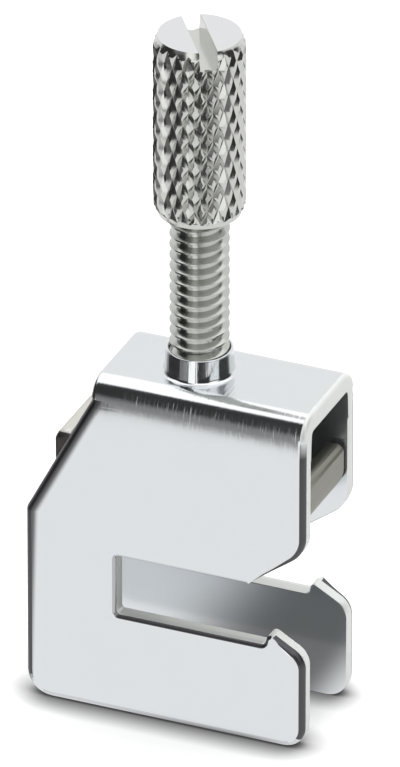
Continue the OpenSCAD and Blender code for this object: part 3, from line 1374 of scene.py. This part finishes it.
@dataclass(frozen=True)
class ZincTurnedSteel:
    """Zinc on turned steel: a satin grey with fine rings round the axis.

    The thread is a little darker than the knurl, and the top face is painted brightest, a painted
    highlight.
    """

    axis_x: float
    head_bottom: float
    head_top: float
    colour: str = "#CFD0CC"
    thread_colour: str = "#BDBFBA"
    # Painted highlight on the head's top face
    painted_bright_top_colour: str = "#E0E1E2"
    # Rings that the lathe left. Real ones are finer: these are as coarse as they need to
    # be to show
    ring_width: float = 0.18
    ring_height: float = 0.003
    ring_octaves: float = 2.0
    # Faint clouds in the plating, and the roughness between which they vary
    cloud_size: float = 1.2
    cloud_octaves: float = 4.0
    smoothest: float = 0.13
    roughest: float = 0.26

    def make(self) -> Material:
        """Builds the material.

        Returns:
            The finished material.
        """
        material, tree = new_material("zinc_turned_steel")
        place = add_node(tree, "ShaderNodeTexCoord").outputs["Object"]
        shift = {"Vector": place, "Location": (-self.axis_x * MM, 0, 0)}
        centred = add_node(tree, "ShaderNodeMapping", shift).outputs["Vector"]
        level = add_node(tree, "ShaderNodeVectorMath", {0: centred, 1: (1, 1, 0)}, operation="MULTIPLY")
        length = add_node(tree, "ShaderNodeVectorMath", {0: level.outputs["Vector"]}, operation="LENGTH")
        radius = length.outputs["Value"]
        grain = {"W": radius, "Scale": per_mm(self.ring_width), "Detail": self.ring_octaves}
        rings = add_node(tree, "ShaderNodeTexNoise", grain, noise_dimensions="1D").outputs["Fac"]
        depth = {"Height": rings, "Strength": 1.0, "Distance": self.ring_height * MM}
        bump = add_node(tree, "ShaderNodeBump", depth).outputs["Normal"]
        grain = {"Vector": place, "Scale": per_mm(self.cloud_size), "Detail": self.cloud_octaves}
        clouds = add_node(tree, "ShaderNodeTexNoise", grain).outputs["Fac"]
        spread = {"Value": clouds, "To Min": self.smoothest, "To Max": self.roughest}
        rough = add_node(tree, "ShaderNodeMapRange", spread).outputs["Result"]
        height = add_node(tree, "ShaderNodeSeparateXYZ", {"Vector": place}).outputs["Z"]
        tints = (
            (self.head_bottom, "LESS_THAN", self.thread_colour),
            # Painted highlight on the top face
            (self.head_top - SAME_POINT, "GREATER_THAN", self.painted_bright_top_colour),
        )
        colour = linear(self.colour)
        for limit, test, tint in tints:
            share = add_node(tree, "ShaderNodeMath", {0: height, 1: limit * MM}, operation=test).outputs[0]
            mix = {"Factor": share, COLOUR_A: colour, COLOUR_B: linear(tint)}
            colour = add_node(tree, "ShaderNodeMix", mix, data_type="RGBA").outputs[COLOUR_OUT]
        shader = add_node(
            tree,
            "ShaderNodeBsdfPrincipled",
            {"Base Color": colour, "Metallic": 1.0, "Roughness": rough, "Normal": bump},
        )
        add_node(tree, "ShaderNodeOutputMaterial", {"Surface": shader.outputs["BSDF"]})
        return material


@dataclass(frozen=True)
class DullZincStrip:
    """Dull zinc on drawn strip: a warm grey with drawn lines along the strip.

    The sheared sides are darker, and the top of the left end has a painted highlight.
    """

    colour: str = "#93928A"
    shear_colour: str = "#55504F"
    # Painted highlight on the top of the left end
    painted_bright_top_colour: str = "#D6D4CE"
    # Lines that the drawing left, and the roughness between which they vary. Real ones are
    # finer: these are as coarse as they need to be to show
    line_width: float = 0.2
    line_length: float = 9.0
    line_height: float = 0.006
    line_octaves: float = 3.0
    smoothest: float = 0.36
    roughest: float = 0.52

    def make(self) -> Material:
        """Builds the material.

        Returns:
            The finished material.
        """
        material, tree = new_material("dull_zinc_strip")
        place = add_node(tree, "ShaderNodeTexCoord").outputs["Object"]
        along = per_mm(self.line_length)
        stretch = {"Vector": place, "Scale": (along, along, per_mm(self.line_width))}
        stretched = add_node(tree, "ShaderNodeMapping", stretch).outputs["Vector"]
        grain = {"Vector": stretched, "Scale": 1.0, "Detail": self.line_octaves}
        lines = add_node(tree, "ShaderNodeTexNoise", grain).outputs["Fac"]
        spread = {"Value": lines, "To Min": self.smoothest, "To Max": self.roughest}
        rough = add_node(tree, "ShaderNodeMapRange", spread).outputs["Result"]
        depth = {"Height": lines, "Strength": 1.0, "Distance": self.line_height * MM}
        bump = add_node(tree, "ShaderNodeBump", depth).outputs["Normal"]
        colour = linear(self.colour)
        # Painted highlight on the left end's top, then the darker sheared sides
        for mark, tint in ((Mark.PAINTED_LIGHT_AND_SHADE, self.painted_bright_top_colour), (Mark.SHEAR, self.shear_colour)):
            share = add_node(tree, "ShaderNodeAttribute", attribute_name=mark.value).outputs["Fac"]
            mix = {"Factor": share, COLOUR_A: colour, COLOUR_B: linear(tint)}
            colour = add_node(tree, "ShaderNodeMix", mix, data_type="RGBA").outputs[COLOUR_OUT]
        shader = add_node(
            tree,
            "ShaderNodeBsdfPrincipled",
            {"Base Color": colour, "Metallic": 1.0, "Roughness": rough, "Normal": bump},
        )
        add_node(tree, "ShaderNodeOutputMaterial", {"Surface": shader.outputs["BSDF"]})
        return material


@dataclass(frozen=True)
class Panel:
    """Soft panel of the studio's light.

    It fills azimuths in degrees, with 0 in front of the clamp and the right positive.
    Its heights are those of a direction, from -1, straight down, to 1, straight up.
    """

    start: float
    end: float
    strength: float
    low: float = 0.16
    # Heights between which the top fades
    fade: float = 0.6
    high: float = 0.72


@dataclass
class Studio:
    """Pale floor, soft light and the camera at the photograph's angle.

    Soft edges of what is lit or shaded start at their first value and are full at their
    second. On the floor they are in millimetres, and round the clamp they are parts of a
    direction, from -1 to 1.
    """

    # Point of the middle plane that the middle of the picture shows
    aim_x: float = 0.73
    aim_height: float = 23.59
    azimuth: float = math.radians(23)
    elevation: float = math.radians(28.9)
    # Camera: its distance, the height of what it shows there, its sensor and how far it sees
    distance: float = 1000.0
    view_height: float = 50.55
    sensor: float = 36.0
    sight: float = 10000.0
    floor_size: float = 1600.0
    # Distance from the clamp to the front edge of the floor, past which the studio is dark
    floor_front: float = 60.0
    floor_colour: str = "#F2F2F2"
    # Colour, reach and depth of the shade along the clamp's feet
    shade_colour: str = "#000000"
    shade_reach: float = 2.2
    shade_depth: float = 2.2
    # Light that the floor gives of itself in view and in reflections
    floor_lift: float = 0.05
    floor_mirror: float = 1.0
    # How much of that is missing in reflections inside the clamp, and the edges of that shade
    shade_inside: float = 0.8
    shade_left: SoftEdge = (-9.0, 3.5)
    shade_right: SoftEdge = (11.0, 5.5)
    shade_beside: SoftEdge = (6.0, 3.0)
    # Edges of the floor at the front left that is dark in reflections
    dark_left: SoftEdge = (-28.0, -36.0)
    dark_front: SoftEdge = (-4.0, -12.0)
    # Light on the matt floor, against the light on the clamp
    floor_light: float = 2.2
    # Light from above, with a dark flag at the front left, and light from behind
    overhead: float = 1.4
    overhead_foot: SoftEdge = (0.6, 0.7)
    flag_front: SoftEdge = (-0.26, -0.36)
    flag_left: SoftEdge = (-0.66, -0.58)
    flag_right: SoftEdge = (-0.04, -0.12)
    backdrop: float = 1.0
    backdrop_front: SoftEdge = (0.0, 0.5)
    backdrop_right: SoftEdge = (0.75, 0.6)
    # Light where there is nothing bright
    gloom: float = 0.035
    # Panels in front, on the right, and a dim one at the front left
    panels: tuple[Panel, ...] = (
        Panel(-12, 13, strength=1.3, low=-0.6),
        Panel(57, 86, strength=1.3),
        Panel(-45, -14, strength=0.26, low=-0.5, fade=-0.2, high=0.42),
    )
    # Half the angle over which a panel's sides fade, and the height over which its foot does
    panel_fade: float = math.radians(3)
    panel_foot: float = 0.1

    def place_camera(self) -> None:
        """Puts the camera where it frames the clamp as the photograph does."""
        level = math.cos(self.elevation)
        to_right = level * math.sin(self.azimuth)
        to_front = level * math.cos(self.azimuth)
        back = Vector((to_right, -to_front, math.sin(self.elevation)))
        aim = Vector((self.aim_x, 0, self.aim_height))
        lens = bpy.data.cameras.new("camera")
        lens.sensor_fit = "VERTICAL"
        lens.sensor_height = self.sensor
        lens.lens = self.sensor * self.distance / self.view_height
        lens.clip_end = self.sight * MM
        camera = bpy.data.objects.new("camera", lens)
        camera.location = (aim + back * self.distance) * MM
        camera.rotation_euler = back.to_track_quat("Z", "Y").to_euler()
        bpy.context.scene.collection.objects.link(camera)
        bpy.context.scene.camera = camera

    def lay_floor(self) -> None:
        """Lays the pale floor that the clamp stands on."""
        bm = bmesh.new()
        bmesh.ops.create_grid(bm, x_segments=1, y_segments=1, size=self.floor_size * MM / 2)
        backwards = (self.floor_size / 2 - self.floor_front) * MM
        bmesh.ops.translate(bm, verts=bm.verts[:], vec=(0, backwards, 0))
        mesh = bpy.data.meshes.new("floor")
        bm.to_mesh(mesh)
        bm.free()
        mesh.materials.append(self.floor_finish())
        floor = bpy.data.objects.new("floor", mesh)
        bpy.context.scene.collection.objects.link(floor)

    def floor_finish(self) -> Material:
        """Matt white floor with its shadows, which reflections and clear bodies see glowing.

        Returns:
            The finished material.
        """
        material, tree = new_material("matt_white_floor")
        path = add_node(tree, "ShaderNodeLightPath").outputs
        reach = {"Distance": self.shade_reach * MM}
        near = add_node(tree, "ShaderNodeAmbientOcclusion", reach).outputs["AO"]
        power = {0: near, 1: self.shade_depth}
        clear = add_node(tree, "ShaderNodeMath", power, operation="POWER").outputs[0]
        mix = {"Factor": clear, COLOUR_A: linear(self.shade_colour), COLOUR_B: linear(self.floor_colour)}
        shaded = add_node(tree, "ShaderNodeMix", mix, data_type="RGBA").outputs[COLOUR_OUT]
        matt = add_node(tree, "ShaderNodeBsdfDiffuse", {"Color": shaded}).outputs["BSDF"]
        lift = add_node(tree, "ShaderNodeEmission", {"Strength": self.floor_lift}).outputs["Emission"]
        lifted = add_node(tree, "ShaderNodeAddShader", {0: matt, 1: lift}).outputs["Shader"]
        views = {0: path["Is Camera Ray"], 1: matt, 2: lifted}
        shown = add_node(tree, "ShaderNodeMixShader", views).outputs["Shader"]
        glow = add_node(tree, "ShaderNodeEmission", {"Strength": self.floor_glow(tree)}).outputs["Emission"]
        rays = {0: path["Is Glossy Ray"], 1: path["Is Transmission Ray"]}
        mirrored = add_node(tree, "ShaderNodeMath", rays, operation="MAXIMUM").outputs[0]
        mixed = add_node(tree, "ShaderNodeMixShader", {0: mirrored, 1: shown, 2: glow}).outputs["Shader"]
        add_node(tree, "ShaderNodeOutputMaterial", {"Surface": mixed})
        return material

    def floor_glow(self, tree: NodeTree) -> NodeSocket:
        """Light of the floor in reflections: even, but shaded inside the clamp and dark at the front left.

        Args:
            tree: Node tree of the floor.

        Returns:
            The socket of the light's strength.
        """
        place = add_node(tree, "ShaderNodeTexCoord").outputs["Object"]
        scaled = add_node(tree, "ShaderNodeVectorMath", {0: place, "Scale": 1 / MM}, operation="SCALE")
        axes = add_node(tree, "ShaderNodeSeparateXYZ", {"Vector": scaled.outputs["Vector"]}).outputs
        beside = add_node(tree, "ShaderNodeMath", {0: axes["Y"]}, operation="ABSOLUTE").outputs[0]
        sides = ((axes["X"], self.shade_left), (axes["X"], self.shade_right), (beside, self.shade_beside))
        inside = self.soft_field(tree, 1.0, *sides)
        front_left = self.soft_field(tree, 1.0, (axes["X"], self.dark_left), (axes["Y"], self.dark_front))
        glow = self.floor_mirror
        for field, light in ((inside, 1 - self.shade_inside), (front_left, self.gloom)):
            limits = {"Value": field, "To Min": 1.0, "To Max": light}
            kept = add_node(tree, "ShaderNodeMapRange", limits, interpolation_type="SMOOTHSTEP")
            factors = {0: glow, 1: kept.outputs["Result"]}
            glow = add_node(tree, "ShaderNodeMath", factors, operation="MULTIPLY").outputs[0]
        return glow

    def soft_field(
        self, tree: NodeTree, strength: float, *edges: tuple[NodeSocket, SoftEdge]
    ) -> NodeSocket:
        """Makes a lit or shaded field with soft edges.

        Args:
            tree: Node tree of the floor or the world.
            strength: Value of the field inside all its edges.
            edges: Each edge, with the socket that it limits.

        Returns:
            A socket that is 0 outside the field.
        """
        field = strength
        for value, (start, full) in edges:
            limits = {"Value": value, "From Min": start, "From Max": full}
            step = add_node(tree, "ShaderNodeMapRange", limits, interpolation_type="SMOOTHSTEP")
            factors = {0: field, 1: step.outputs["Result"]}
            field = add_node(tree, "ShaderNodeMath", factors, operation="MULTIPLY").outputs[0]
        return field

    def light_world(self) -> None:
        """Surrounds the clamp with soft light, and shows the camera plain white."""
        world = bpy.data.worlds.new("studio")
        world.use_nodes = True
        tree = world.node_tree
        tree.nodes.clear()
        strength = self.gloom
        for light in self.studio_lights(tree):
            brighter = {0: strength, 1: light}
            strength = add_node(tree, "ShaderNodeMath", brighter, operation="MAXIMUM").outputs[0]
        path = add_node(tree, "ShaderNodeLightPath").outputs
        limits = {"Value": path["Is Diffuse Ray"], "To Min": 1.0, "To Max": self.floor_light}
        raised = add_node(tree, "ShaderNodeMapRange", limits).outputs["Result"]
        cast = add_node(tree, "ShaderNodeMath", {0: strength, 1: raised}, operation="MULTIPLY").outputs[0]
        mix = {"Factor": path["Is Camera Ray"], VALUE_A: cast, VALUE_B: 1.0}
        shown = add_node(tree, "ShaderNodeMix", mix, data_type="FLOAT").outputs[0]
        white = {"Color": linear("#FFFFFF"), "Strength": shown}
        background = add_node(tree, "ShaderNodeBackground", white).outputs["Background"]
        add_node(tree, "ShaderNodeOutputWorld", {"Surface": background})
        bpy.context.scene.world = world

    def studio_lights(self, tree: NodeTree) -> list[NodeSocket]:
        """The light from above and behind, and the panels beside the camera.

        Args:
            tree: Node tree of the world.

        Returns:
            A socket for each light, with its strength in the direction that is lit.
        """
        direction = add_node(tree, "ShaderNodeTexCoord").outputs["Generated"]
        axes = add_node(tree, "ShaderNodeSeparateXYZ", {"Vector": direction}).outputs
        front = add_node(tree, "ShaderNodeMath", {0: axes["Y"], 1: -1.0}, operation="MULTIPLY").outputs[0]
        azimuth = add_node(tree, "ShaderNodeMath", {0: axes["X"], 1: front}, operation="ARCTAN2").outputs[0]
        sides = ((axes["Y"], self.flag_front), (axes["X"], self.flag_left), (axes["X"], self.flag_right))
        flag = self.soft_field(tree, 1.0, *sides)
        open_share = add_node(tree, "ShaderNodeMath", {0: 1.0, 1: flag}, operation="SUBTRACT").outputs[0]
        above = {0: self.soft_field(tree, self.overhead, (axes["Z"], self.overhead_foot)), 1: open_share}
        sides = ((axes["Y"], self.backdrop_front), (axes["X"], self.backdrop_right))
        lights = [
            add_node(tree, "ShaderNodeMath", above, operation="MULTIPLY").outputs[0],
            self.soft_field(tree, self.backdrop, *sides),
        ]
        for panel in self.panels:
            start = math.radians(panel.start)
            end = math.radians(panel.end)
            sides = (
                (azimuth, (start - self.panel_fade, start + self.panel_fade)),
                (azimuth, (end + self.panel_fade, end - self.panel_fade)),
                (axes["Z"], (panel.low, panel.low + self.panel_foot)),
                (axes["Z"], (panel.high, panel.fade)),
            )
            lights.append(self.soft_field(tree, panel.strength, *sides))
        return lights


def in_mm(corner: Vector) -> Vector:
    """Turns a place in metres to millimetres."""
    return corner / MM


def main() -> None:
    """Loads the frame, builds and dresses the pieces and sets up the studio."""
    logging.basicConfig(level=logging.INFO, format="%(name)s: %(message)s")
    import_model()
    sheet_low, sheet_high = map(in_mm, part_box("clamp_frame"))
    screw_low, screw_high = map(in_mm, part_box("knurled_screw"))
    strip_low, strip_high = map(in_mm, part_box("pressure_plate"))
    axis_x = (screw_low.x + screw_high.x) / 2
    sheet_size = sheet_high - sheet_low

    sheet = FoldedSheet(length=sheet_size.x, width=sheet_size.y, collar_top=sheet_high.z, axis_x=axis_x)
    publish(sheet.build(), Piece.FOLDED_SHEET, sheet.dress(), sheet.sharp)
    screw = TurnedScrew(
        head_top=screw_high.z,
        tip=screw_low.z,
        axis_x=axis_x,
        head_radius=(screw_high.y - screw_low.y) / 2,
    )
    publish(screw.build(), Piece.TURNED_SCREW, screw.dress(), screw.sharp)
    strip = PressureStrip(low=strip_low, high=strip_high)
    publish(strip.build(), Piece.PRESSURE_STRIP, strip.dress(), strip.sharp)

    bpy.context.scene.view_settings.view_transform = "Standard"
    studio = Studio()
    studio.place_camera()
    studio.lay_floor()
    studio.light_world()


if __name__ == "__main__":
    main()
